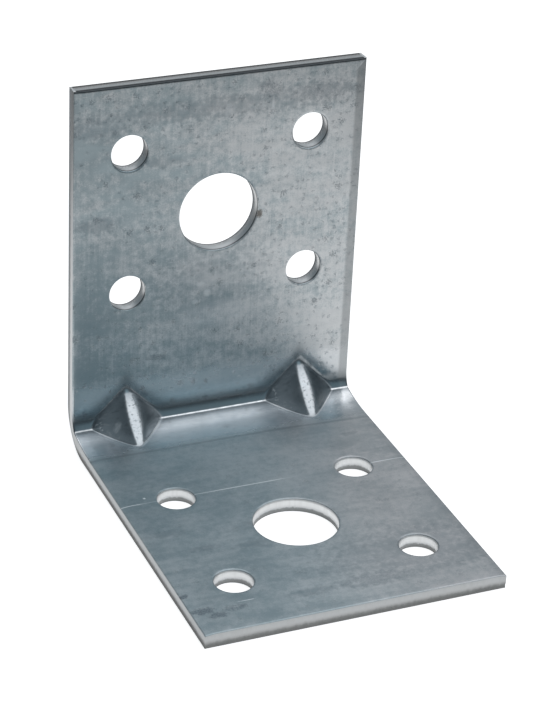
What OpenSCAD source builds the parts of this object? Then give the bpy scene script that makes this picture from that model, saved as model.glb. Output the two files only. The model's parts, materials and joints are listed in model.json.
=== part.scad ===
// Corner brace bracket: one strip of galvanised sheet steel, folded square.
// Each leg has a big bolt hole amid four nail holes, and two gussets are
// pressed into the bend from behind. The base leg lies on z = 0 with its
// free end at -Y, and the upright leg stands at +Y. The origin is the centre
// of the footprint. Lengths are millimetres.

/* [Sheet] */
// Width of the strip, along the bend
strip_width = 40; // [36:1:60]
// Base leg, from the back of the upright to its free end
base_length = 51; // [48:0.5:80]
// Upright leg, from the underside of the base to its top edge
upright_height = 51.3; // [48:0.5:80]
// Thickness of the sheet
sheet_thickness = 2; // [1.6:0.1:2.6]

/* [Bend] */
// Radius on the outside of the bend, where the press thins the sheet
outer_bend_radius = 5.9; // [4.5:0.1:6]
// How far the crease inside the bend stands off the inner face of each leg
crease_standoff = 0.73; // [0.5:0.01:1]
// Radius of the inside of the bend above the crease, into the upright
upper_inside_radius = 3.9; // [2:0.1:5]
// Radius of the inside of the bend below the crease, into the base
lower_inside_radius = 24; // [4:1:26]

/* [Holes] */
// Bore of the nail holes
nail_hole_diameter = 5; // [3:0.1:6.5]
// Bore of the bolt hole in the middle of each leg
bolt_hole_diameter = 11; // [8:0.5:12]
// Between the two columns of nail holes, across the strip
column_pitch = 25; // [22:0.5:28]
// Between the two rows of nail holes, along a leg
row_pitch = 20; // [17:0.5:21]
// From the top edge of the upright to its outer row of nail holes
upright_row_margin = 9.25; // [5:0.25:11]
// From the free end of the base to its outer row of nail holes
base_row_margin = 9.65; // [5:0.25:11]

/* [Gussets] */
// From the inside corner of the fold to where a gusset's crest meets a leg
gusset_crest_leg = 5.7; // [4:0.1:6.5]
// Fall of a gusset's flank for each unit along the bend
gusset_flank_slope = 1; // [0.7:0.05:1.5]
// Rounding of the crest, across the gusset
gusset_crest_rounding = 1.5; // [0.4:0.1:2]
// Fillet where a gusset meets a leg
gusset_fillet = 0.8; // [0.5:0.1:2]
// Sheet left on the crest, after the press has stretched it
gusset_wall = 1.6; // [1.2:0.1:2]
// Rounding at the bottom of the hollow behind a gusset
recess_rounding = 0.3; // [0.2:0.1:1]

/* [Hidden] */

$fn = 96;
// Cuts run this far past the sheet, so that they leave no skin
cut_margin = 1;
// A gusset's ridge is rooted this deep in the sheet
ridge_root = 0.1;
// A gusset's flank runs this far under the plain bend, as a chamfer's leg
flank_dip = 0.3;
// Cross sections in each half of a gusset, and steps round each fillet
gusset_sections = 9;
fillet_steps = 6;

base_pattern_centre = base_length - base_row_margin - row_pitch / 2;
upright_pattern_centre = upright_height - upright_row_margin - row_pitch / 2;

// The crease lies on the 45 degree line, this far from the outside faces
crease = sheet_thickness + crease_standoff;

// Leg of the 45 degree chamfer that just touches the plain bend
plain_inside_leg = 2 * crease_standoff;
plain_outside_leg = outer_bend_radius * (2 - sqrt(2));
recess_crest_leg =
    gusset_crest_leg + 2 * sheet_thickness - gusset_wall * sqrt(2);

// Metal between the inner face of a leg and the crease, under an arc that
// leaves the face level and ends at the crease. The leg runs along x.
module bend_fill(radius) {
    reach = crease + sqrt(radius ^ 2 - (radius - crease_standoff) ^ 2);
    difference() {
        square([reach, crease]);
        translate([reach, sheet_thickness + radius])
            circle(radius, $fn = 360);
    }
}

// Side view of the folded strip, with its outside corner still square:
// x runs from the back of the upright towards the free end of the base,
// y runs up.
module square_fold() {
    square([base_length, sheet_thickness]);
    square([sheet_thickness, upright_height]);
    bend_fill(lower_inside_radius);
    mirror([1, -1]) bend_fill(upper_inside_radius);
}

// What is left outside the bend when the corner is rounded, in the same view
module corner_waste() {
    difference() {
        translate([-cut_margin, -cut_margin])
            square(outer_bend_radius + cut_margin);
        translate([outer_bend_radius, outer_bend_radius])
            circle(outer_bend_radius);
    }
}

// Carries a side view across the strip
module across_strip(width) {
    rotate([90, 0, -90])
        linear_extrude(width, center = true)
            children();
}

// One bolt hole amid four nail holes, drilled down through z = 0
module hole_group() {
    depth = sheet_thickness + 2 * cut_margin;
    translate([0, 0, -cut_margin])
        cylinder(d = bolt_hole_diameter, h = depth);
    for (column = [-1, 1], row = [-1, 1])
        translate([column * column_pitch / 2, row * row_pitch / 2, -cut_margin])
            cylinder(d = nail_hole_diameter, h = depth);
}

module base_holes() {
    translate([0, -base_pattern_centre, 0])
        hole_group();
}

module upright_holes() {
    translate([0, 0, upright_pattern_centre])
        rotate([90, 0, 0])
            hole_group();
}

// Distance from the crest at which a flank has lost a given chamfer leg
function flank_run(lost_leg, rounding) =
    sqrt((rounding + lost_leg / (sqrt(2) * gusset_flank_slope)) ^ 2 - rounding ^ 2);

// Chamfer leg at a distance from the crest
function flank_leg(crest_leg, distance, rounding) =
    crest_leg - sqrt(2) * gusset_flank_slope
        * (sqrt(distance ^ 2 + rounding ^ 2) - rounding);

// Corner section at one station: from a point behind the corner, out along
// one leg, over a 45 degree chamfer with filleted ends and back up the other
function corner_section(station, corner, leg, behind) =
    let (
        fillet = min(gusset_fillet, leg),
        tangent = leg + fillet * tan(22.5),
        lower = [
            for (i = [0 : fillet_steps])
                let (angle = 270 - 45 * i / fillet_steps)
                [tangent + fillet * cos(angle), fillet + fillet * sin(angle)]
        ],
        upper = [for (i = [fillet_steps : -1 : 0]) [lower[i][1], lower[i][0]]],
        outline = concat(
            [[-behind, -behind], [tangent, -behind]],
            lower, upper,
            [[-behind, tangent]]
        )
    )
    [for (point = outline) [station, -corner - point[0], corner + point[1]]];

// Solid that fills the fold's corner across one gusset, up to a chamfer that
// swells from under the plain bend to the crest and shrinks again
module swelling_chamfer(corner, plain_leg, crest_leg, rounding, behind) {
    run = flank_run(crest_leg - plain_leg + flank_dip, rounding);
    last = 2 * gusset_sections;
    ring = 2 * fillet_steps + 5;
    points = [
        for (s = [-gusset_sections : gusset_sections])
            let (station = run * s / gusset_sections)
            each corner_section(station, corner, flank_leg(crest_leg, station, rounding), behind)
    ];
    skin = [
        for (s = [0 : last - 1], i = [0 : ring - 1])
            let (
                here = s * ring + i,
                beside = s * ring + (i + 1) % ring
            )
            each [
                [here, beside, beside + ring],
                [here, beside + ring, here + ring]
            ]
    ];
    caps = [
        for (i = [1 : ring - 2])
            each [
                [0, i + 1, i],
                [last * ring, last * ring + i, last * ring + i + 1]
            ]
    ];
    polyhedron(points = points, faces = concat(skin, caps), convexity = 4);
}

module at_gussets() {
    for (side = [-1, 1])
        translate([side * column_pitch / 2, 0, 0])
            children();
}

module gusset_ridge() {
    swelling_chamfer(
        sheet_thickness, plain_inside_leg, gusset_crest_leg,
        gusset_crest_rounding, ridge_root
    );
}

module gusset_recess() {
    swelling_chamfer(
        0, plain_outside_leg, recess_crest_leg,
        recess_rounding, cut_margin
    );
}

module bracket() {
    color("lightsteelblue")
        translate([0, base_length / 2, 0])
            difference() {
                union() {
                    across_strip(strip_width) square_fold();
                    at_gussets() gusset_ridge();
                }
                across_strip(strip_width + 2 * cut_margin) corner_waste();
                base_holes();
                upright_holes();
                at_gussets() gusset_recess();
            }
}

bracket();
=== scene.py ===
# Corner brace bracket in galvanised sheet steel: a detailed mesh of the folded
# strip, its zinc finish, a white studio and the camera. Lengths are metres in
# the part's own frame; MM turns a length in millimetres into metres.
import json
import math

import bpy
from mathutils import Matrix, Vector
from mathutils.geometry import delaunay_2d_cdt


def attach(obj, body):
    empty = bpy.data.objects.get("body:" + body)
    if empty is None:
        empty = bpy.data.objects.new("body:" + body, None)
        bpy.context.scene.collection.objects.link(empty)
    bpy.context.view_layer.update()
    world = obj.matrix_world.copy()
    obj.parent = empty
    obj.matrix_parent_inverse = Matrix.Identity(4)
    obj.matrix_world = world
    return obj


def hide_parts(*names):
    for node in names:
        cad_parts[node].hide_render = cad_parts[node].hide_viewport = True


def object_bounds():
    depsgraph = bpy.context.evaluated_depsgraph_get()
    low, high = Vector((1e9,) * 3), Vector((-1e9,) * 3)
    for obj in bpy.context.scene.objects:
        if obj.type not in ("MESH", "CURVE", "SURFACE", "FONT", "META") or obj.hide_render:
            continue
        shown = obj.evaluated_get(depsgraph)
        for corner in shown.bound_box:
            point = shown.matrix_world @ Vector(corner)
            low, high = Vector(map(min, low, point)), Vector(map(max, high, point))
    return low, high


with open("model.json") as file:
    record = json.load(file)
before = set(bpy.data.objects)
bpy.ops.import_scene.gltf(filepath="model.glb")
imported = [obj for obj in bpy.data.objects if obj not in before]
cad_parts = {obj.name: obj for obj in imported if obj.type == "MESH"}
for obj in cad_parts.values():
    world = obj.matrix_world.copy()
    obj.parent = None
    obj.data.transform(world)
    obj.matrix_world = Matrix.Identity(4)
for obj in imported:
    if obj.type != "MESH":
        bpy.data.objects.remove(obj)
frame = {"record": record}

MM = 0.001
cad_low, cad_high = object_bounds()
mounts = {mount["name"]: mount for mount in frame["record"]["mounts"]}

# Sizes that the frame gives
HALF_WIDTH = cad_high.x
BACK_Y = cad_high.y
SHEET = mounts["base_bolt_hole"]["dims"]["length_mm"] * MM
LEG_END = {"upright": cad_high.z, "base": cad_high.y - cad_low.y}
COLUMN_PITCH = mounts["base_nail_holes"]["dims"]["spacing_x_mm"] * MM

# Fold: a round outside, and a crease inside that stands off both legs and
# runs out into them under two arcs
OUTER_BEND_RADIUS = 5.9 * MM
CREASE_STANDOFF = 0.73 * MM
UPPER_INSIDE_RADIUS = 3.9 * MM
LOWER_INSIDE_RADIUS = 24 * MM
CREASE_BLEND = 0.08 * MM
CREASE_BLEND_ANGLE = math.radians(3)

# Gussets: how far the crest stands from the fold's outer corner, and the shape
# across it. The crest is rounder in its middle than at its ends, and the change
# goes with the square of the way round the bend from the crease, times the taper.
CREST_DISTANCE = 6.86 * MM
CREST_END_ROUNDING = 0.9 * MM
CREST_MIDDLE_ROUNDING = 3.4 * MM
CREST_TAPER = 3
# Slope that a flank would have without its sag, and how far out the sag halves it
CREST_SLOPE = 2.55
FLANK_SAG = 4 * MM
# How softly a gusset meets the plain bend: from the crease down, and at its
# upper end, which lies this far round the bend from the crease
RIDGE_BLEND = 0.14 * MM
UPPER_END_BLEND = 0.8 * MM
UPPER_END_ANGLE = math.radians(25)
# Painted shade round a gusset's foot: how far outside it, how widely and
# how strongly, above the crease and below it
FOOT_SHADE_ABOVE = (0.5 * MM, 1.5 * MM, 1.15)
FOOT_SHADE_BELOW = (0.05 * MM, 0.3 * MM, 0.55)
# Height above the plain bend at which a point counts as well up on a gusset
GUSSET_RISE = 1.5 * MM
# The hollow behind a gusset, in the same terms
HOLLOW_DISTANCE = 5.26 * MM
HOLLOW_ROUNDING = 0.3 * MM
HOLLOW_SLOPE = 1.0
HOLLOW_BLEND = 0.5 * MM

# The bend's surfaces are found along rays from an axis this far out from the
# fold's outer faces, where the flat legs take over. The ray at this angle from
# level meets the crease.
BEND_REACH = 12 * MM
CREASE_ANGLE = math.pi / 4

# Sheared edges: how far in from an edge each ring of points lies
SIDE_RINGS = [ring * MM for ring in (0, 0.03, 0.09, 0.19, 0.34, 0.55, 0.9, 1.4)]
HOLE_RINGS = [ring * MM for ring in (0, 0.03, 0.08, 0.16, 0.26, 0.4)]
# Width and depth of the slope that the shear leaves along both sides, which
# steepens towards the edge by a power, of the round on each edge of the inner
# face and of the one on the outer face
SIDE_SLOPE = (1.4 * MM, 0.14 * MM)
SIDE_SLOPE_POWER = 1.5
INNER_ROUND = (0.14 * MM, 0.1 * MM)
HOLE_ROUND = (0.28 * MM, 0.12 * MM)
OUTER_ROUND = (0.08 * MM, 0.06 * MM)
# Along a sheared wall: share of the way from inner to outer face, and how far
# the torn metal lies back from the cut
WALL_PROFILE = [(0.2, 0), (0.45, 0), (0.6, 0.01 * MM), (0.75, 0.05 * MM), (0.92, 0.06 * MM)]

# Mesh density
BEND_STEP = 0.5 * MM
GUSSET_STEP = 0.17 * MM
GUSSET_HALF_WIDTH = 6 * MM
BEND_ROWS = 50
# Spacing of those rows at the crease, as a share of an even spacing
ROWS_AT_CREASE = 0.35
FACE_STEP = 1.4 * MM
RIM_STEP = 0.3 * MM
# Points that agree within this are one, in the sheet and in a leg's triangles
SAME_POINT = 0.001 * MM
SAME_FLAT_POINT = 1e-9


def hole_list(leg):
    """Centre across, centre along the leg and radius of each hole of one leg."""
    bolt = mounts[leg + "_bolt_hole"]
    nails = mounts[leg + "_nail_holes"]
    across, forward, up = bolt["pos_m"]
    along = up if leg == "upright" else BACK_Y - forward
    holes = [(across, along, bolt["dims"]["r_mm"] * MM)]
    half_across = nails["dims"]["spacing_x_mm"] * MM / 2
    half_along = nails["dims"]["spacing_y_mm"] * MM / 2
    for column in (-1, 1):
        for row in (-1, 1):
            holes.append((
                across + column * half_across,
                along + row * half_along,
                nails["dims"]["hole_r_mm"] * MM,
            ))
    return holes


def edge_round(distance, size):
    """How far a face has sunk at a distance from an edge with a quarter-elliptic round."""
    width, depth = size
    if distance >= width:
        return 0.0
    return depth * (1 - math.sqrt(1 - (1 - distance / width) ** 2))


def side_slope(distance):
    """How far the inner face has sunk at a distance from a side of the strip."""
    width, depth = SIDE_SLOPE
    return depth * max(0.0, 1 - distance / width) ** SIDE_SLOPE_POWER


def ray_to_circle(angle, across, along, radius):
    """Distance from the bend's axis to the far side of a circle about a point beside the axis."""
    towards = across * math.cos(angle) + along * math.sin(angle)
    off_square = across ** 2 + along ** 2 - towards ** 2
    return towards + math.sqrt(max(0.0, radius ** 2 - off_square))


def smooth_least(first, second, blend):
    """The smaller of two values, rounded over where they come within blend of each other."""
    share = min(1.0, max(0.0, 0.5 + (second - first) / blend / 2))
    return second + (first - second) * share - blend * share * (1 - share)


def inside_arc(angle, radius):
    """Distance from the bend's axis to a leg's inner face or the arc between it and the crease.

    The angle is counted from the leg's side.
    """
    reach = SHEET + CREASE_STANDOFF + math.sqrt(radius ** 2 - (radius - CREASE_STANDOFF) ** 2)
    face = BEND_REACH - SHEET
    if BEND_REACH - face * math.tan(angle) > reach:
        return face / math.cos(angle)
    return ray_to_circle(angle, face - radius, BEND_REACH - reach, radius)


def gusset_offset(x):
    """Distance across the strip from the nearer gusset's crest."""
    return min(abs(x - COLUMN_PITCH / 2), abs(x + COLUMN_PITCH / 2))


def ray_to_flank(x, angle, crest_distance, slope, rounding):
    """Distance from the bend's axis to a gusset's 45 degree crest or, off the crest, its flank."""
    drop = slope * (math.hypot(gusset_offset(x), rounding) - rounding)
    return (BEND_REACH * math.sqrt(2) - crest_distance + drop) / math.cos(angle - CREASE_ANGLE)


def plain_distance(angle):
    """Distance from the bend's axis to the inner face between the gussets."""
    upper = inside_arc(angle, UPPER_INSIDE_RADIUS)
    lower = inside_arc(math.pi / 2 - angle, LOWER_INSIDE_RADIUS)
    if abs(angle - CREASE_ANGLE) < CREASE_BLEND_ANGLE:
        return smooth_least(upper, lower, CREASE_BLEND)
    return upper if angle < CREASE_ANGLE else lower


def ridge_distance(x, angle):
    """Distance from the bend's axis to the nearer gusset's own surface."""
    off_middle = min(1.0, CREST_TAPER * (angle / CREASE_ANGLE - 1) ** 2)
    rounding = CREST_MIDDLE_ROUNDING + (CREST_END_ROUNDING - CREST_MIDDLE_ROUNDING) * off_middle
    slope = CREST_SLOPE / (1 + gusset_offset(x) / FLANK_SAG)
    return ray_to_flank(x, angle, CREST_DISTANCE, slope, rounding)


def inner_distance(x, angle):
    """Distance from the bend's axis to the inner face, gussets and all."""
    above_crease = min(1.0, max(0.0, CREASE_ANGLE - angle) / UPPER_END_ANGLE)
    blend = RIDGE_BLEND + (UPPER_END_BLEND - RIDGE_BLEND) * above_crease
    return smooth_least(plain_distance(angle), ridge_distance(x, angle), blend)


def gusset_foot_shade(x, angle):
    """How near a point of the inner face is to the foot of a gusset, from 0 to 1, which sets the painted
    shade there.
    """
    out, width, strength = FOOT_SHADE_ABOVE if angle < CREASE_ANGLE else FOOT_SHADE_BELOW
    off_foot = plain_distance(angle) - ridge_distance(x, angle) + out
    return strength * math.exp(-(off_foot / width) ** 2)


def gusset_rise(x, angle):
    """How far a point of the inner face has risen onto a gusset, from 0 to 1."""
    return min(1.0, max(0.0, (plain_distance(angle) - ridge_distance(x, angle)) / GUSSET_RISE))


def outer_distance(x, angle):
    """Distance from the bend's axis to the outer face, with the hollows behind the gussets."""
    centre = BEND_REACH - OUTER_BEND_RADIUS
    arc_start = math.atan2(centre, BEND_REACH)
    if arc_start < angle < math.pi / 2 - arc_start:
        plain = ray_to_circle(angle, centre, centre, OUTER_BEND_RADIUS)
    else:
        plain = BEND_REACH / max(math.cos(angle), math.sin(angle))
    hollow = ray_to_flank(x, angle, HOLLOW_DISTANCE, HOLLOW_SLOPE, HOLLOW_ROUNDING)
    return smooth_least(plain, hollow, HOLLOW_BLEND)


def on_ray(x, angle, distance):
    """Point of the bend at an angle, from level towards the upright to straight down."""
    return Vector((
        x,
        BACK_Y - BEND_REACH + distance * math.cos(angle),
        BEND_REACH - distance * math.sin(angle),
    ))


def bend_angles():
    """Angles of the bend's rows of points, closer together at the crease."""
    angles = []
    for i in range(-BEND_ROWS, BEND_ROWS + 1):
        share = abs(i) / BEND_ROWS
        spread = share * (ROWS_AT_CREASE + (1 - ROWS_AT_CREASE) * share)
        angles.append(CREASE_ANGLE * (1 + math.copysign(spread, i)))
    return angles


def on_leg(leg, x, reach, depth):
    """Point of a leg at a reach from the fold's outer corner and a depth below its inner face."""
    if leg == "upright":
        return Vector((x, BACK_Y - SHEET + depth, reach))
    return Vector((x, BACK_Y - reach, SHEET - depth))


class Sheet:
    """The folded sheet as pairs of points, one on the inner face and one on the outer."""

    def __init__(self):
        self.inner = []
        self.outer = []
        self.faces = []
        self.index = {}
        self.foot = []
        self.rise = []

    def add(self, inner, outer, inner_sink, outer_sink, foot=0.0, rise=0.0):
        """Index of a pair of points, which is new unless its inner point is there already."""
        key = tuple(round(value / SAME_POINT) for value in inner)
        if key not in self.index:
            through = (outer - inner).normalized()
            self.index[key] = len(self.inner)
            self.inner.append(inner + through * inner_sink)
            self.outer.append(outer - through * outer_sink)
            self.foot.append(foot)
            self.rise.append(rise)
        return self.index[key]

    def boundary(self):
        """Edges that only one face has."""
        edges = set()
        for face in self.faces:
            for a, b in zip(face, face[1:] + face[:1]):
                edges.add((a, b))
        return [(a, b) for a, b in edges if (b, a) not in edges]

    def inward(self, edges):
        """Direction into the metal at each point of the sheet's edges."""
        inward = {}
        for a, b in edges:
            normal = self.inner[a] - self.outer[a]
            side = normal.cross(self.inner[b] - self.inner[a]).normalized()
            inward[a] = inward.get(a, Vector()) + side
            inward[b] = inward.get(b, Vector()) + side
        return {point: side.normalized() for point, side in inward.items()}

    def to_mesh(self, name):
        """Mesh of both faces and of the walls along the sheet's edges."""
        count = len(self.inner)
        points = self.inner + self.outer
        faces = [list(face) for face in self.faces]
        faces += [[i + count for i in reversed(face)] for face in self.faces]
        edges = self.boundary()
        columns = {}
        for point, side in self.inward(edges).items():
            column = [point]
            for share, inset in WALL_PROFILE:
                column.append(len(points))
                points.append(self.inner[point].lerp(self.outer[point], share) + side * inset)
            columns[point] = column + [point + count]
        skin_count = len(faces)
        for a, b in edges:
            for step in range(len(WALL_PROFILE) + 1):
                lower = step + 1
                faces.append([columns[b][step], columns[a][step], columns[a][lower], columns[b][lower]])
        mesh = bpy.data.meshes.new(name)
        mesh.from_pydata([tuple(point) for point in points], [], faces)
        mesh.validate()
        wall_count = len(faces) - skin_count
        mesh.polygons.foreach_set("use_smooth", [True] * len(faces))
        mesh.polygons.foreach_set("material_index", [0] * skin_count + [1] * wall_count)
        # The foot values set the painted shade round the gussets' feet
        for label, values in (("gusset_foot_shade", self.foot), ("gusset_rise", self.rise)):
            attribute = mesh.attributes.new(label, "FLOAT", "POINT")
            attribute.data.foreach_set("value", values + [0.0] * (len(points) - count))
        mesh.update()
        return mesh


def spaced(low, high, step):
    count = max(1, round((high - low) / step))
    return [low + (high - low) * i / count for i in range(count + 1)]


def across_stations():
    """Places across the strip: close together at the side edges and at the gussets."""
    inside = HALF_WIDTH - SIDE_RINGS[-1]
    gusset_far = COLUMN_PITCH / 2 + GUSSET_HALF_WIDTH
    gusset_near = COLUMN_PITCH / 2 - GUSSET_HALF_WIDTH
    half = spaced(0, gusset_near, BEND_STEP)
    half += spaced(gusset_near, gusset_far, GUSSET_STEP)[1:]
    half += spaced(gusset_far, inside, BEND_STEP)[1:]
    half += [HALF_WIDTH - ring for ring in reversed(SIDE_RINGS[:-1])]
    return [-x for x in reversed(half[1:])] + half


def add_bend(sheet):
    rows = []
    angles = bend_angles()
    for x in across_stations():
        edge = HALF_WIDTH - abs(x)
        rows.append([
            sheet.add(
                on_ray(x, angle, inner_distance(x, angle)),
                on_ray(x, angle, outer_distance(x, angle)),
                side_slope(edge) + edge_round(edge, INNER_ROUND),
                edge_round(edge, OUTER_ROUND),
                gusset_foot_shade(x, angle),
                gusset_rise(x, angle),
            )
            for angle in angles
        ])
    for left, right in zip(rows, rows[1:]):
        for i in range(len(angles) - 1):
            sheet.faces.append([left[i], left[i + 1], right[i + 1], right[i]])


def face_points(end, holes):
    """Points of a flat leg: its seam, its edges' rings, the holes' rings and a loose grid between."""
    stations = across_stations()
    points = [(x, BEND_REACH) for x in stations]
    edge_zone = SIDE_RINGS[-1]
    rows = spaced(BEND_REACH, end - edge_zone, FACE_STEP)[1:]
    columns = spaced(-HALF_WIDTH + edge_zone, HALF_WIDTH - edge_zone, FACE_STEP)
    end_rows = [end - ring for ring in SIDE_RINGS[:-1]]
    side_columns = [side * (HALF_WIDTH - ring) for ring in SIDE_RINGS[:-1] for side in (-1, 1)]
    for reach in rows + end_rows:
        for x in columns + side_columns:
            clear = min(math.hypot(x - hole[0], reach - hole[1]) - hole[2] for hole in holes)
            if clear > HOLE_RINGS[-1] + FACE_STEP / 3:
                points.append((x, reach))
    rims = []
    for across, along, radius in holes:
        # In eighths of a turn, so that every rim is symmetric
        steps = 8 * round(2 * math.pi * radius / RIM_STEP / 8)
        for ring in HOLE_RINGS:
            start = len(points)
            for i in range(steps):
                angle = 2 * math.pi * i / steps
                points.append((
                    across + (radius + ring) * math.cos(angle),
                    along + (radius + ring) * math.sin(angle),
                ))
            if ring == 0:
                rims += [(start + i, start + (i + 1) % steps) for i in range(steps)]
    return points, rims


def add_leg(sheet, leg):
    holes = hole_list(leg)
    end = LEG_END[leg]
    points, rims = face_points(end, holes)
    flat = [Vector(point) for point in points]
    found, _, triangles, _, _, _ = delaunay_2d_cdt(flat, rims, [], 0, SAME_FLAT_POINT)
    ids = []
    for x, reach in found:
        side = HALF_WIDTH - abs(x)
        rim = max(0.0, min(math.hypot(x - hole[0], reach - hole[1]) - hole[2] for hole in holes))
        edge = min(side, end - reach)
        ids.append(sheet.add(
            on_leg(leg, x, reach, 0),
            on_leg(leg, x, reach, SHEET),
            side_slope(side) + edge_round(edge, INNER_ROUND) + edge_round(rim, HOLE_ROUND),
            edge_round(min(edge, rim), OUTER_ROUND),
        ))
    for triangle in triangles:
        middle = sum((Vector(found[i]) for i in triangle), Vector((0, 0))) / 3
        if any((middle - Vector(hole[:2])).length < hole[2] for hole in holes):
            continue
        corners = [ids[i] for i in triangle]
        facing = (sheet.inner[corners[1]] - sheet.inner[corners[0]]).cross(
            sheet.inner[corners[2]] - sheet.inner[corners[0]]
        )
        if facing.dot(sheet.inner[corners[0]] - sheet.outer[corners[0]]) < 0:
            corners.reverse()
        sheet.faces.append(corners)


def make_bracket():
    sheet = Sheet()
    add_bend(sheet)
    add_leg(sheet, "upright")
    add_leg(sheet, "base")
    bracket = bpy.data.objects.new("folded_bracket", sheet.to_mesh("folded_bracket"))
    bpy.context.scene.collection.objects.link(bracket)
    return bracket


class Nodes:
    """Adds and links nodes in the tree of one material or world."""

    def __init__(self, owner):
        owner.use_nodes = True
        self.tree = owner.node_tree

    def feed(self, socket, value):
        if isinstance(value, bpy.types.NodeSocket):
            self.tree.links.new(value, socket)
        else:
            socket.default_value = value

    def math(self, operation, *values, clamp=False):
        node = self.tree.nodes.new("ShaderNodeMath")
        node.operation = operation
        node.use_clamp = clamp
        for socket, value in zip(node.inputs, values):
            self.feed(socket, value)
        return node.outputs[0]

    def product(self, first, *others):
        for value in others:
            first = self.math("MULTIPLY", first, value)
        return first

    def vector(self, x, y, z):
        node = self.tree.nodes.new("ShaderNodeCombineXYZ")
        for socket, value in zip(node.inputs, (x, y, z)):
            self.feed(socket, value)
        return node.outputs[0]

    def place(self, kind="Object"):
        """X, Y and Z of the point, or with kind Generated of a world's direction."""
        coordinates = self.tree.nodes.new("ShaderNodeTexCoord")
        split = self.tree.nodes.new("ShaderNodeSeparateXYZ")
        self.tree.links.new(coordinates.outputs[kind], split.inputs[0])
        return split.outputs

    def attribute(self, label):
        """Value of one of the mesh's own attributes."""
        node = self.tree.nodes.new("ShaderNodeAttribute")
        node.attribute_name = label
        return node.outputs["Fac"]

    def noise(self, vector, scale, detail=3.0, roughness=0.55):
        node = self.tree.nodes.new("ShaderNodeTexNoise")
        self.feed(node.inputs["Vector"], vector)
        node.inputs["Scale"].default_value = scale
        node.inputs["Detail"].default_value = detail
        node.inputs["Roughness"].default_value = roughness
        return node.outputs["Fac"]

    def cells(self, vector, scale):
        """Distance to the nearest of a random spread of points, and two random values of its own."""
        node = self.tree.nodes.new("ShaderNodeTexVoronoi")
        node.voronoi_dimensions = "2D"
        self.feed(node.inputs["Vector"], vector)
        node.inputs["Scale"].default_value = scale
        split = self.tree.nodes.new("ShaderNodeSeparateColor")
        self.tree.links.new(node.outputs["Color"], split.inputs[0])
        return node.outputs["Distance"], split.outputs[0], split.outputs[1]

    def fade(self, value, low, high, out_low=0.0, out_high=1.0):
        """Smooth step from out_low to out_high as value goes from low to high."""
        node = self.tree.nodes.new("ShaderNodeMapRange")
        node.interpolation_type = "SMOOTHSTEP"
        for socket, setting in zip(node.inputs, (value, low, high, out_low, out_high)):
            self.feed(socket, setting)
        return node.outputs[0]

    def mix(self, share, first, second, kind="MIX"):
        node = self.tree.nodes.new("ShaderNodeMix")
        node.data_type = "RGBA"
        node.blend_type = kind
        self.feed(node.inputs["Factor"], share)
        self.feed(node.inputs[6], first)
        self.feed(node.inputs[7], second)
        return node.outputs[2]

    def layered(self, colour, layers):
        """A colour under layers, each a share and the colour that covers that share."""
        for share, cover in layers:
            colour = self.mix(share, colour, cover)
        return colour

    def bump(self, height, distance, normal=None, strength=1.0):
        node = self.tree.nodes.new("ShaderNodeBump")
        node.inputs["Strength"].default_value = strength
        node.inputs["Distance"].default_value = distance
        self.feed(node.inputs["Height"], height)
        if normal is not None:
            self.feed(node.inputs["Normal"], normal)
        return node.outputs[0]


class Strip:
    """Where a point of the folded strip lies, as values in one material's tree."""

    def __init__(self, nodes):
        self.x, y, z = nodes.place()
        forward = nodes.math("SUBTRACT", BACK_Y, y)
        # From the crease up the upright, and below zero out along the base
        self.along = nodes.math("SUBTRACT", z, forward)
        # Off a leg's outer face, and out along the leg from the fold's outer corner
        self.height = nodes.math("MINIMUM", z, forward)
        self.reach = nodes.math("MAXIMUM", z, forward)
        self.on_upright = nodes.fade(self.along, -0.5 * MM, 0.5 * MM)
        self.on_base = nodes.math("SUBTRACT", 1.0, self.on_upright)


ZINC_DARK = (0.33, 0.40, 0.43, 1)
ZINC_LIGHT = (0.68, 0.705, 0.72, 1)
# Painted tint of reflected light on the base's right
WARM_TINT = (0.95, 0.9, 0.89, 1)
BURNISHED = (0.62, 0.66, 0.69, 1)
# Painted highlight, on the slope below the crease and along the crease
PAINTED_HIGHLIGHT = (0.9, 0.92, 0.94, 1)
PIT = (0.17, 0.2, 0.22, 1)
# Smudges, partly real marks and partly painted shade
SMUDGE_AND_SHADE = (0.2, 0.235, 0.265, 1)
# Painted shade on the gussets' flanks and round their feet
GUSSET_SHADE = (0.16, 0.19, 0.21, 1)
# Painted shade in the band above the crease
CREASE_SHADE = (0.13, 0.155, 0.17, 1)
# Painted shade on the slope along the upright's right side
SIDE_SHADE = (0.25, 0.27, 0.28, 1)
SCUFF = (0.85, 0.88, 0.9, 1)
# Painted shade for dark lines along edges and rims
EDGE_SHADE = (0.05, 0.055, 0.06, 1)
RUST = (0.1, 0.075, 0.055, 1)

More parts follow.
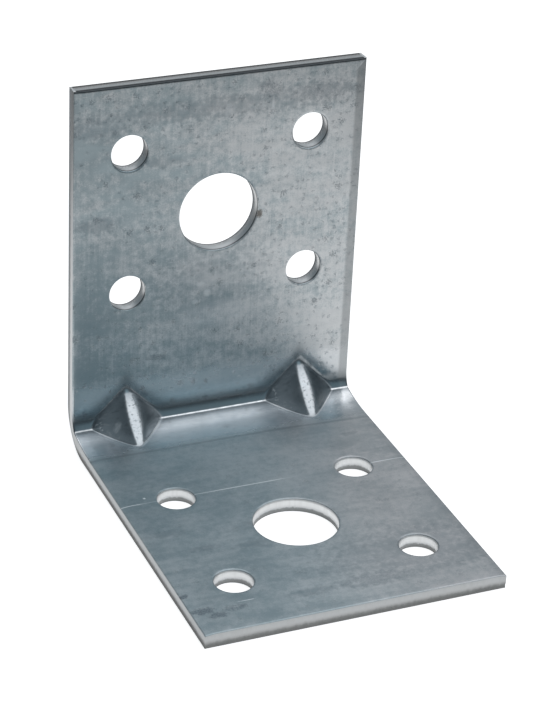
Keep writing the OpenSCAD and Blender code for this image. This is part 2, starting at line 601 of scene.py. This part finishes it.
# Marks on the inner face, in millimetres: place across, place along the strip
# (up the upright is positive, out along the base negative), half width, half
# length and strength
# The smudges are partly real marks and partly painted shade
SMUDGES_AND_SHADE = [
    (2, 47.0, 21, 1.5, 0.32),
    (6.5, 48.2, 1.8, 1.7, 0.5),
    (14, 47.4, 5, 1.6, 0.4),
    (-17, 46.0, 4, 1.5, 0.4),
    (-8.4, 40.3, 4, 0.8, 0.25),
    (-16.8, 32.6, 3.2, 1.2, 0.35),
    (-1.7, 24.1, 4.5, 1.2, 0.2),
    (-8.2, 11.8, 1.4, 0.45, 0.5),
    (0, 22.5, 8, 5, 0.12),
    (-17.2, 3.2, 3.0, 2.2, 0.8),
    (8.8, 4.2, 2.2, 2.8, 0.4),
    (-18.6, -46.2, 1.5, 0.75, 0.75),
    (-17.0, -47.6, 1.2, 0.6, 0.65),
    (-14.5, -46.7, 1.5, 0.6, 0.6),
    (4, -46.4, 5, 1.5, 0.4),
    (-4, -46.6, 3.5, 0.9, 0.25),
    (10.2, -44.4, 2, 0.9, 0.3),
    (15.5, -13.4, 1.2, 0.5, 0.35),
    (11, -42, 12, 5, 0.26),
    (-19.6, -42.6, 0.6, 0.45, 0.9),
    (-13.5, -33.5, 2.2, 0.7, 0.3),
    (-16.5, -29.0, 2.6, 0.8, 0.25),
    (-6.5, -34.5, 3.0, 1.0, 0.22),
    (-4.0, -30.5, 5.0, 1.3, 0.16),
]
SCUFFS = [
    (0, 17.2, 5.5, 1.8, 0.18),
    (-2.3, 21.9, 0.5, 0.4, 0.4),
    (-1.3, 20.4, 0.45, 0.5, 0.45),
    (-3.0, 19.3, 0.5, 0.35, 0.35),
    (3.0, 16.2, 0.4, 0.35, 0.4),
    (-2.2, 16.2, 0.7, 0.4, 0.3),
    (1, 46.4, 0.7, 0.9, 0.3),
    (7.0, 46.0, 0.22, 1.2, 0.45),
    (-16.4, -20.1, 0.16, 0.16, 0.9),
    (-12.6, -45.75, 1.1, 0.07, 0.9),
    (7.3, 0.3, 0.9, 0.4, 0.8),
    (-18.4, -0.4, 1.4, 0.4, 0.5),
    (-14.6, -4.6, 0.5, 0.4, 0.35),
]
RUST_STAINS = [(5.75, 31.0, 0.4, 0.6, 0.75)]

# Lines across the inner face: place along the strip and half width. The scratch
# has a gap that opens and closes over two stretches of the width. The die's line
# bows away from the crease at its right end.
SCRATCH = (-21.25 * MM, 0.12 * MM)
SCRATCH_GAP = (0, 6 * MM), (12 * MM, 15 * MM)
DIE_LINE = (-9.3 * MM, 0.35 * MM)
DIE_LINE_BOW = (5 * MM, 20 * MM, 0.0, 0.6 * MM)
# The crease line is a painted highlight along the crease
CREASE_LINE = (0.0, 0.26 * MM)
# The rubbed metal of the bend ends between these reaches from the outer corner
RUBBED_END = (7.5 * MM, 10 * MM)
# The painted shade on the slope along the upright's right side and the painted dark
# line of shade under its top edge: the distances from that edge between which each fades
SIDE_BAND = (1.1 * MM, 1.55 * MM)
TOP_LINE = (0.1 * MM, 0.35 * MM)
# Reads the patterns of the inner and the outer face in different places
FACE_SHIFT = 16 * MM


class Zinc:
    """The galvanised finish, with a method for each group of its layers."""

    def __init__(self, nodes):
        self.nodes = nodes
        self.at = at = Strip(nodes)
        self.inner = nodes.fade(at.height, 0.9 * MM, 1.1 * MM)
        sign = nodes.fade(at.along, -0.01 * MM, 0.01 * MM, -1.0, 1.0)
        self.leg_place = nodes.product(at.reach, sign)

        self.shift = shift = nodes.product(self.inner, FACE_SHIFT)
        even = nodes.vector(at.x, at.along, shift)
        streaked = nodes.vector(nodes.product(at.x, 0.45), at.along, shift)
        rolled_down = nodes.vector(at.x, nodes.product(at.along, 0.03), shift)
        rolled_across = nodes.vector(nodes.product(at.x, 0.08), at.along, shift)
        self.clouds = nodes.noise(streaked, 110)
        self.streaks = nodes.noise(streaked, 420, detail=4, roughness=0.6)
        self.clusters = nodes.noise(even, 220, detail=2)
        self.mottle = nodes.noise(even, 1000, roughness=0.6)
        self.fine = nodes.noise(even, 2200, detail=2)
        self.ragged = nodes.noise(even, 5000, detail=2)
        base_grain = nodes.noise(rolled_across, 1500, detail=1)
        upright_grain = nodes.noise(rolled_down, 3600, detail=1)
        self.grain = nodes.mix(at.on_upright, base_grain, upright_grain)
        wobble = nodes.noise(even, 1000, detail=5, roughness=0.8)
        self.wobble = nodes.product(nodes.math("SUBTRACT", wobble, 0.5), 6.0)

        self.rise = nodes.attribute("gusset_rise")
        self.between = nodes.product(nodes.fade(self.rise, 0.0, 0.3, 1.0, 0.0), self.inner)
        self.rubbed = nodes.product(nodes.fade(at.reach, *RUBBED_END, 1.0, 0.0), self.inner)

    def marks(self, places):
        """Strength of the strongest of some ragged spots, on either face."""
        nodes = self.nodes
        total = 0.0
        for across, along, half_width, half_length, strength in places:
            u = nodes.math("DIVIDE", nodes.math("SUBTRACT", self.at.x, across * MM), half_width * MM)
            v = nodes.math("DIVIDE", nodes.math("SUBTRACT", self.leg_place, along * MM), half_length * MM)
            square = nodes.math("ADD", nodes.product(u, u), nodes.product(v, v))
            spot = nodes.fade(nodes.math("ADD", square, self.wobble), 0.1, 1.6, strength, 0.0)
            total = nodes.math("MAXIMUM", total, spot)
        return total

    def line(self, place, centre, half_width):
        """Strength of a soft-edged line across the inner face."""
        off = self.nodes.math("ABSOLUTE", self.nodes.math("SUBTRACT", place, centre))
        return self.nodes.product(self.nodes.fade(off, half_width / 4, half_width, 1.0, 0.0), self.inner)

    def tone(self):
        """How light the zinc is, from 0 to 1: livelier on the upright, and lighter to the right as painted
        light.
        """
        nodes, at = self.nodes, self.at
        patterns = [(self.clouds, 0.8), (self.streaks, 0.7), (self.mottle, 0.8)]
        patterns += [(self.grain, 0.25), (self.ragged, 0.5)]
        # Painted light: the upright grows lighter to the right
        tone = nodes.product(at.x, 9.0, at.on_upright)
        for pattern, weight in patterns:
            tone = nodes.math("MULTIPLY_ADD", pattern, weight, tone)
        tone = nodes.fade(tone, 1.2, 1.87)
        # Painted light: the base grows lighter to the right
        calm = nodes.math("MULTIPLY_ADD", tone, 0.5, nodes.fade(at.x, -15 * MM, 10 * MM, -0.05, 0.2))
        return nodes.math("ADD", nodes.product(calm, at.on_base), nodes.product(tone, at.on_upright))

    def pit_spread(self, scale, core, rims, lean, chances):
        """Ragged pits of random size, more of them to the right where lean is above zero."""
        nodes, at = self.nodes, self.at
        spread = nodes.vector(
            nodes.math("ADD", at.x, self.shift), nodes.math("ADD", at.along, self.shift), 0.0
        )
        off, size, chance = nodes.cells(spread, scale)
        off = nodes.math("MULTIPLY_ADD", nodes.math("SUBTRACT", self.ragged, 0.5), 0.9, off)
        pit = nodes.fade(off, core, nodes.fade(size, 0, 1, *rims), 1.0, 0.0)
        chance = nodes.math("MULTIPLY_ADD", at.x, lean, nodes.math("ADD", chance, self.clusters))
        return nodes.product(pit, nodes.fade(chance, *chances))

    def pits(self):
        nodes, at = self.nodes, self.at
        small = self.pit_spread(1100, 0.08, (0.15, 0.32), 6.0, (1.15, 1.25))
        big = self.pit_spread(420, 0.05, (0.1, 0.2), 0.0, (1.2, 1.35))
        from_inner = nodes.math("ABSOLUTE", nodes.math("SUBTRACT", at.height, SHEET))
        off_face = nodes.math("MINIMUM", at.height, from_inner)
        return nodes.product(
            nodes.math("MAXIMUM", nodes.product(small, 0.6), big),
            nodes.fade(off_face, 0.15 * MM, 0.4 * MM, 1.0, 0.0),
            nodes.fade(at.on_upright, 0, 1, 0.35, 0.8),
        )

    def scratch(self):
        nodes = self.nodes
        opens, closes = SCRATCH_GAP
        gap = nodes.product(nodes.fade(self.at.x, *opens), nodes.fade(self.at.x, *closes, 1.0, 0.0))
        return nodes.product(
            self.line(self.leg_place, *SCRATCH),
            nodes.fade(self.clusters, 0.35, 0.6, 0.35, 1.0),
            nodes.math("SUBTRACT", 1.0, gap),
        )

    def face_layers(self):
        """Smudges that are partly real marks and partly painted shade, and the line that the die's edge
        pressed into the base.
        """
        nodes = self.nodes
        # Smudges, partly painted shade
        smudge_and_shade = nodes.product(
            self.marks(SMUDGES_AND_SHADE), self.between, nodes.fade(self.ragged, 0.3, 0.7, 0.4, 1.5)
        )
        bowed = nodes.math("ADD", self.leg_place, nodes.fade(self.at.x, *DIE_LINE_BOW))
        die_line = nodes.product(self.line(bowed, *DIE_LINE), 0.4)
        return [(smudge_and_shade, SMUDGE_AND_SHADE), (die_line, SMUDGE_AND_SHADE)]

    def bend_layers(self):
        """Painted highlight on the slope below the crease, and painted shade in a band above it."""
        nodes, along = self.nodes, self.at.along
        # Painted highlight on the slope below the crease
        slope = nodes.product(
            nodes.fade(along, -4.0 * MM, -2.2 * MM),
            nodes.fade(along, -1.6 * MM, -0.5 * MM, 1.0, 0.0),
            nodes.fade(self.mottle, 0.3, 0.6, 0.75, 1.0),
            self.between,
        )
        # Painted shade in the band above the crease
        crease_shade = nodes.product(
            nodes.fade(along, 1.4 * MM, 3.9 * MM, 0.92, 0.0),
            nodes.fade(along, -0.3 * MM, 0.1 * MM, 0.4, 1.0),
            nodes.fade(along, -0.9 * MM, -0.3 * MM),
            self.between,
        )
        return [(slope, PAINTED_HIGHLIGHT), (crease_shade, CREASE_SHADE)]

    def from_crest(self):
        """Distance across the strip from the nearer gusset's crest, below zero at its left."""
        middle = COLUMN_PITCH / 2
        nearer = self.nodes.fade(self.at.x, -1 * MM, 1 * MM, -middle, middle)
        return self.nodes.math("SUBTRACT", self.at.x, nearer)

    def gusset_layers(self, from_crest):
        """Specks on the gussets, painted shade on their flanks and round their feet."""
        nodes, rise = self.nodes, self.rise
        specks = nodes.product(rise, nodes.fade(self.fine, 0.52, 0.7, 0.0, 0.6))
        # Painted shade on the flanks, beside the crest
        left = nodes.product(
            nodes.fade(from_crest, -0.65 * MM, -0.45 * MM, 1.0, 0.0),
            nodes.fade(from_crest, -3.2 * MM, -0.6 * MM, 0.2, 0.75),
            rise,
        )
        right = nodes.product(nodes.fade(from_crest, 0.7 * MM, 1.7 * MM, 0.0, 0.85), rise)
        foot = nodes.product(nodes.attribute("gusset_foot_shade"), nodes.fade(self.mottle, 0.3, 0.7, 0.55, 0.85))
        return [(specks, PIT), (nodes.math("MAXIMUM", left, right), GUSSET_SHADE), (foot, GUSSET_SHADE)]

    def sparkle(self, from_crest):
        """Bright grains at the left foot of each gusset."""
        nodes = self.nodes
        low = nodes.product(
            nodes.fade(from_crest, -2.2 * MM, -1.0 * MM, 0.8, 0.0),
            nodes.fade(self.at.along, -1.8 * MM, 0.3 * MM, 1.0, 0.0),
        )
        worn = nodes.math("MAXIMUM", nodes.fade(from_crest, -4.2 * MM, -2.0 * MM, 1.0, 0.0), low)
        return nodes.product(
            worn, nodes.fade(self.rise, 0.0, 0.3), nodes.fade(self.fine, 0.52, 0.68, 0.0, 0.5)
        )

    def edge_layers(self):
        """Painted shade on the slope along the upright's right side, and a painted dark line of shade under
        its top edge.
        """
        nodes, at = self.nodes, self.at
        near, far = SIDE_BAND
        from_top = nodes.math("SUBTRACT", LEG_END["upright"], at.reach)
        from_right = nodes.math("SUBTRACT", HALF_WIDTH, at.x)
        # Painted shade on the slope along the right side
        side = nodes.product(
            nodes.fade(at.x, HALF_WIDTH - far, HALF_WIDTH - near),
            nodes.fade(nodes.math("SUBTRACT", from_top, from_right), 0.0, 0.15 * MM),
            at.on_upright, self.inner, 0.55,
        )
        # Painted dark line of shade under the top edge
        line = nodes.product(nodes.fade(from_top, *TOP_LINE, 0.95, 0.0), at.on_upright, self.inner)
        return [(side, SIDE_SHADE), (line, EDGE_SHADE)]

    # A painted highlight along the crease
    def crease_highlight(self):
        nodes = self.nodes
        return nodes.product(
            self.line(self.at.along, *CREASE_LINE),
            nodes.fade(self.mottle, 0.3, 0.6, 0.5, 1.0),
            nodes.fade(self.at.x, -17.5 * MM, -15.5 * MM, 0.6, 1.0),
            self.between,
        )


def zinc():
    material = bpy.data.materials.new("galvanised_zinc")
    nodes = Nodes(material)
    finish = Zinc(nodes)
    at = finish.at
    pits = finish.pits()
    from_crest = finish.from_crest()
    scuff = nodes.product(finish.marks(SCUFFS), finish.inner)
    scuff = nodes.math("MAXIMUM", scuff, finish.sparkle(from_crest))
    scuff = nodes.math("MAXIMUM", scuff, finish.scratch())

    colour = nodes.mix(finish.tone(), ZINC_DARK, ZINC_LIGHT)
    # Painted tint of reflected light: the base turns warmer towards the right
    reflected_warmth = nodes.product(nodes.fade(at.x, -4 * MM, 14 * MM), at.on_base)
    colour = nodes.mix(reflected_warmth, colour, WARM_TINT, "MULTIPLY")
    colour = nodes.layered(colour, [
        (nodes.product(finish.rubbed, 0.7), BURNISHED),
        (nodes.product(pits, 0.52), PIT),
        *finish.face_layers(),
        *finish.bend_layers(),
        *finish.gusset_layers(from_crest),
        *finish.edge_layers(),
        (finish.crease_highlight(), PAINTED_HIGHLIGHT),
        (scuff, SCUFF),
        (nodes.product(finish.marks(RUST_STAINS), finish.inner), RUST),
    ])
    metallic = nodes.fade(finish.rubbed, 0, 1, 0.85, 1.0)
    metallic = nodes.math("SUBTRACT", metallic, nodes.product(scuff, 0.7), clamp=True)
    roughness = nodes.fade(finish.streaks, 0.3, 0.7, 0.28, 0.4)
    roughness = nodes.math("SUBTRACT", roughness, nodes.product(finish.rubbed, 0.13))
    normal = nodes.bump(finish.grain, 0.004 * MM)
    normal = nodes.bump(finish.mottle, 0.02 * MM, normal, 0.5)
    normal = nodes.bump(pits, -0.03 * MM, normal)

    shader = nodes.tree.nodes["Principled BSDF"]
    nodes.feed(shader.inputs["Base Color"], colour)
    nodes.feed(shader.inputs["Metallic"], metallic)
    nodes.feed(shader.inputs["Roughness"], roughness)
    nodes.feed(shader.inputs["Normal"], normal)
    return material


CUT_METAL = (0.55, 0.57, 0.58, 1)
TORN_METAL = (0.34, 0.335, 0.325, 1)
# Painted highlight on bore and side walls, standing in for the bright floor they reflect
WALL_HIGHLIGHT = (0.95, 0.97, 0.98, 1)


def rim_lines(nodes, height, inner_rim, outer_rim):
    """Dark lines of painted shade along both rims of a sheared wall.

    A rim is given by the heights off the outer face between which its line fades.
    """
    return nodes.math("ADD", nodes.fade(height, *inner_rim), nodes.fade(height, *outer_rim, 0.8, 0.0))


def sheared_edge():
    """The wall that a shear or punch leaves: bright where it cut, dull and brown where it tore."""
    material = bpy.data.materials.new("sheared_edge")
    nodes = Nodes(material)
    at = Strip(nodes)
    drag = nodes.noise(nodes.vector(at.x, at.reach, nodes.product(at.height, 0.08)), 1800, detail=2)
    grit = nodes.noise(nodes.vector(at.x, at.reach, at.height), 3000, roughness=0.7)
    waver = nodes.product(nodes.math("SUBTRACT", drag, 0.5), 0.5 * MM)
    wavering = nodes.math("ADD", at.height, waver)
    torn = nodes.fade(wavering, 0.2 * MM, 1.3 * MM, 1.0, 0.0)

    # Where the wall is: in a bore of either leg, along the upright's top, or at a side
    from_side = nodes.math("SUBTRACT", HALF_WIDTH, nodes.math("ABSOLUTE", at.x))
    from_end = nodes.math("SUBTRACT", min(LEG_END.values()), at.reach)
    bore = nodes.fade(nodes.math("MINIMUM", from_side, from_end), 0.5 * MM, 1.0 * MM)
    base_bore = nodes.product(bore, at.on_base)
    upright_bore = nodes.product(bore, at.on_upright)
    off_side = nodes.fade(from_side, 0.2 * MM, 0.4 * MM)
    top_edge = nodes.product(nodes.math("SUBTRACT", at.on_upright, upright_bore), off_side)
    # Painted highlight on the side walls of the upright
    side = nodes.product(nodes.fade(off_side, 0, 1, 0.5, 0.0), nodes.fade(at.along, -2 * MM, 6 * MM))

    torn_band = nodes.product(nodes.fade(wavering, 0.4 * MM, 0.75 * MM, 0.7, 0.0), base_bore)
    # Painted shade lines along the rims of bores and the top edge
    bore_lines = nodes.product(
        rim_lines(nodes, at.height, (1.5 * MM, 1.75 * MM), (0.1 * MM, 0.3 * MM)),
        bore, nodes.fade(at.on_upright, 0, 1, 0.3, 0.85),
    )
    top_lines = nodes.product(
        rim_lines(nodes, at.height, (1.3 * MM, 1.55 * MM), (0.2 * MM, 0.5 * MM)), top_edge
    )
    # Bore and side walls get painted highlight, and the rims painted shade lines
    colour = nodes.layered(nodes.mix(torn, CUT_METAL, TORN_METAL), [
        (nodes.product(base_bore, 0.95), WALL_HIGHLIGHT),
        (nodes.fade(drag, 0.4, 0.75, 0.0, 0.12), TORN_METAL),
        (torn_band, TORN_METAL),
        (nodes.product(upright_bore, 0.5), WALL_HIGHLIGHT),
        (nodes.math("MAXIMUM", bore_lines, top_lines), EDGE_SHADE),
        (side, WALL_HIGHLIGHT),
    ])
    normal = nodes.bump(drag, 0.02 * MM)
    normal = nodes.bump(nodes.product(grit, torn), 0.06 * MM, normal)

    shader = nodes.tree.nodes["Principled BSDF"]
    nodes.feed(shader.inputs["Base Color"], colour)
    nodes.feed(shader.inputs["Metallic"], nodes.fade(torn, 0, 1, 0.85, 0.4))
    nodes.feed(shader.inputs["Roughness"], nodes.fade(torn, 0, 1, 0.4, 0.7))
    nodes.feed(shader.inputs["Normal"], normal)
    return material


# Camera, from the photograph's perspective
CAMERA_PLACE = Vector((-114.3, -254.5, 175.6)) * MM
CAMERA_AZIMUTH = math.radians(23.96)
CAMERA_ELEVATION = math.radians(28.84)
CAMERA_ROLL = math.radians(2.83)
LENS = 126.6


def make_camera():
    data = bpy.data.cameras.new("camera")
    data.lens = LENS
    data.clip_start = 0.01
    camera = bpy.data.objects.new("camera", data)
    bpy.context.scene.collection.objects.link(camera)
    turn = Matrix.Rotation(-CAMERA_AZIMUTH, 4, "Z")
    tilt = Matrix.Rotation(math.pi / 2 - CAMERA_ELEVATION, 4, "X")
    roll = Matrix.Rotation(CAMERA_ROLL, 4, "Z")
    camera.matrix_world = Matrix.Translation(CAMERA_PLACE) @ turn @ tilt @ roll
    bpy.context.scene.camera = camera


# Studio as the metal reflects it: a bright panel overhead, blue-grey walls
# before and behind the object, and darkness at both sides and at floor level
OVERHEAD = (1.12, 1.14, 1.17, 1)
AHEAD = (0.49, 0.63, 0.69, 1)
BEHIND = (0.40, 0.43, 0.45, 1)
DARK = (0.15, 0.18, 0.2, 1)
WHITE = (1, 1, 1, 1)
# Where these meet, as parts of a direction, whose length is 1. Each pair is the
# range over which one turns into another: the wall ahead into the one behind along
# Y, the floor's darkness into the walls along Z, the walls into darkness along X,
# counted from their middle, the walls into the panel along Z, and at the panel's
# left end along X.
WALLS_TURN = (-0.4, 0.3)
WALL_FOOT = (0.05, 0.35)
WALL_MIDDLE = 0.3
WALL_END = (0.25, 0.45)
PANEL_EDGE = (0.58, 0.68)
PANEL_LEFT = (-0.38, -0.15)
# Beyond this place along X the panel reaches lower the farther right, by a share
# that falls from ahead to behind
PANEL_DIP_START = 0.45
PANEL_DIP = (-0.2, 0.2, 0.8, 0.0)


def studio_world():
    """World that lights the object, plain white where the camera sees it."""
    world = bpy.data.worlds.new("studio")
    nodes = Nodes(world)
    x, y, z = nodes.place("Generated")
    walls = nodes.mix(nodes.fade(y, *WALLS_TURN), AHEAD, BEHIND)
    walls = nodes.mix(nodes.fade(z, *WALL_FOOT), DARK, walls)
    from_middle = nodes.math("ABSOLUTE", nodes.math("SUBTRACT", x, WALL_MIDDLE))
    walls = nodes.mix(nodes.fade(from_middle, *WALL_END), walls, DARK)
    beyond = nodes.math("MAXIMUM", nodes.math("SUBTRACT", x, PANEL_DIP_START), 0.0)
    height = nodes.math("MULTIPLY_ADD", beyond, nodes.fade(y, *PANEL_DIP), z)
    panel = nodes.product(nodes.fade(height, *PANEL_EDGE), nodes.fade(x, *PANEL_LEFT))
    studio = nodes.mix(panel, walls, OVERHEAD)
    camera_ray = nodes.tree.nodes.new("ShaderNodeLightPath").outputs["Is Camera Ray"]
    background = nodes.tree.nodes["Background"]
    nodes.feed(background.inputs["Color"], nodes.mix(camera_ray, studio, WHITE))
    bpy.context.scene.world = world


FLOOR_HALF_SIZE = 1.5
FLOOR_COLOUR = (0.6, 0.6, 0.6, 1)
# Own light of the floor: for the camera, and in the metal, where it falls off
# between two distances from the middle, from one strength to another
FLOOR_GLOW = 0.8
FLOOR_IN_METAL = (85 * MM, 140 * MM, 0.95, 0.15)


def make_floor():
    size = FLOOR_HALF_SIZE
    data = bpy.data.meshes.new("floor")
    corners = [(-size, -size, 0), (size, -size, 0), (size, size, 0), (-size, size, 0)]
    data.from_pydata(corners, [], [(0, 1, 2, 3)])
    floor = bpy.data.objects.new("floor", data)
    bpy.context.scene.collection.objects.link(floor)
    material = bpy.data.materials.new("white_floor")
    nodes = Nodes(material)
    shader = nodes.tree.nodes["Principled BSDF"]
    shader.inputs["Base Color"].default_value = FLOOR_COLOUR
    shader.inputs["Roughness"].default_value = 1.0
    shader.inputs["Specular IOR Level"].default_value = 0.0
    shader.inputs["Emission Color"].default_value = WHITE
    path = nodes.tree.nodes.new("ShaderNodeLightPath")
    nodes.feed(shader.inputs["Emission Strength"], nodes.product(path.outputs["Is Camera Ray"], FLOOR_GLOW))
    x, y, _ = nodes.place()
    from_middle = nodes.math("SQRT", nodes.math("ADD", nodes.product(x, x), nodes.product(y, y)))
    in_metal = nodes.tree.nodes.new("ShaderNodeEmission")
    nodes.feed(in_metal.inputs["Strength"], nodes.fade(from_middle, *FLOOR_IN_METAL))
    either = nodes.tree.nodes.new("ShaderNodeMixShader")
    nodes.feed(either.inputs[0], path.outputs["Is Glossy Ray"])
    nodes.feed(either.inputs[1], shader.outputs[0])
    nodes.feed(either.inputs[2], in_metal.outputs[0])
    nodes.feed(nodes.tree.nodes["Material Output"].inputs["Surface"], either.outputs[0])
    data.materials.append(material)


bracket = make_bracket()
bracket.data.materials.append(zinc())
bracket.data.materials.append(sheared_edge())
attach(bracket, "root")
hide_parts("bracket")
make_camera()
studio_world()
make_floor()
bpy.context.scene.view_settings.view_transform = "Standard"
